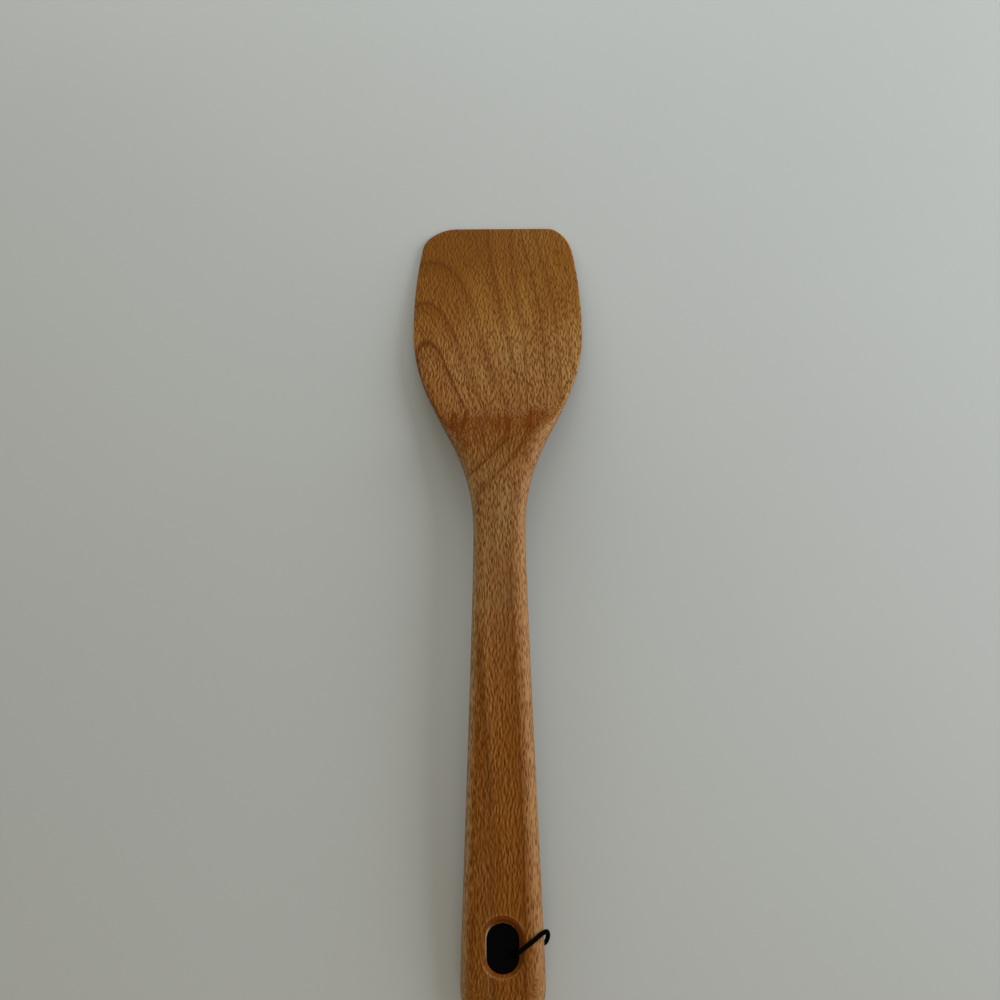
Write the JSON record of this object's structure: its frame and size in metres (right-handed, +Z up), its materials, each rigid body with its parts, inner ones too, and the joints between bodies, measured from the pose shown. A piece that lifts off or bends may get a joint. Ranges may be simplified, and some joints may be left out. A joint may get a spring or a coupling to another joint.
{
  "type": "wooden saute paddle",
  "caption": "Beech saute paddle in one piece, with a flat squared blade, a low arched handle, and a black plug and elastic cord in its hanging hole.",
  "frame": {"origin": "centre of the paddle's box on the surface it lies on", "axes": "+Y along the length towards the blade's tip, +X to the right seen from above with the tip ahead, +Z up out of the blade's face"},
  "size_m": [0.0716, 0.3178, 0.0243],
  "materials": {
    "beech": "oiled, satin",
    "black_rubber": "matte",
    "black_elastic": "woven elastic, matte"
  },
  "bodies": {
    "root": {"paddle": "beech", "hole_plug": "black_rubber", "hanging_cord": "black_elastic"}
  },
  "joints": []
}
